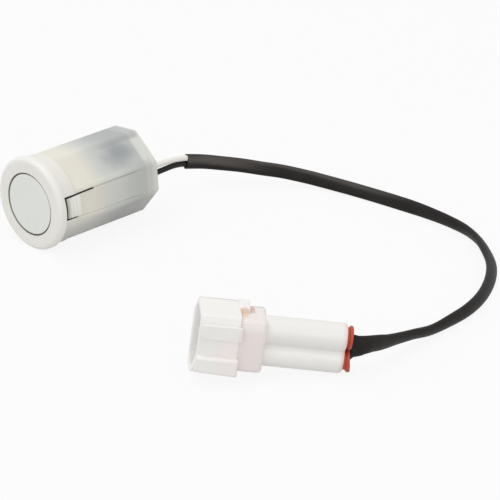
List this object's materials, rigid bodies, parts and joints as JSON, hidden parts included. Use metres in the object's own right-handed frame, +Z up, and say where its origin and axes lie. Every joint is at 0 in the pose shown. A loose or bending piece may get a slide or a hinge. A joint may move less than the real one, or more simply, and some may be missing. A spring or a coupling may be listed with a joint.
{
  "type": "parking sensor",
  "caption": "Push-in ultrasonic parking sensor: round face in a flanged bezel, eight-sided clip housing, short sleeved lead and a sealed hooded connector.",
  "frame": {"origin": "centre of the flange's seat, on the axis of the sensor head", "axes": "+Y along the head's axis from the face to the rear, the way the head goes into a bumper; +Z up; the lead and connector lie on the surface that the flange's edge rests on"},
  "size_m": [0.1136, 0.105, 0.0232],
  "materials": {
    "painted_white": "satin paint",
    "frosted_nylon": "frosted translucent moulding",
    "face_paint": "painted face",
    "silicone": "matte",
    "piezo_ceramic": "silvered",
    "damping_foam": "matte",
    "board_laminate": "satin",
    "capacitor_body": "satin",
    "enamelled_wire": "satin",
    "potting": "matte",
    "white_insulation": "satin",
    "black_insulation": "satin",
    "black_sleeve": "satin",
    "natural_nylon": "translucent moulding",
    "red_nylon": "satin",
    "tinned_brass": "tinned",
    "seal_silicone": "matte"
  },
  "bodies": {
    "root": {"front_bezel": "painted_white", "sensor_housing": "frosted_nylon", "transducer_cup": "face_paint", "decoupling_ring": "silicone", "piezo_disc": "piezo_ceramic", "damping_pad": "damping_foam", "carrier_board": "board_laminate", "compensation_capacitor": "capacitor_body", "piezo_lead_positive": "enamelled_wire", "piezo_lead_ground": "enamelled_wire", "rear_potting": "potting", "white_wire": "white_insulation", "black_wire": "black_insulation", "lead_sleeve": "black_sleeve", "connector_housing": "natural_nylon", "terminal_retainer": "red_nylon", "upper_terminal": "tinned_brass", "lower_terminal": "tinned_brass", "upper_wire_seal": "seal_silicone", "lower_wire_seal": "seal_silicone", "white_wire_tail": "white_insulation", "black_wire_tail": "black_insulation"}
  },
  "joints": []
}
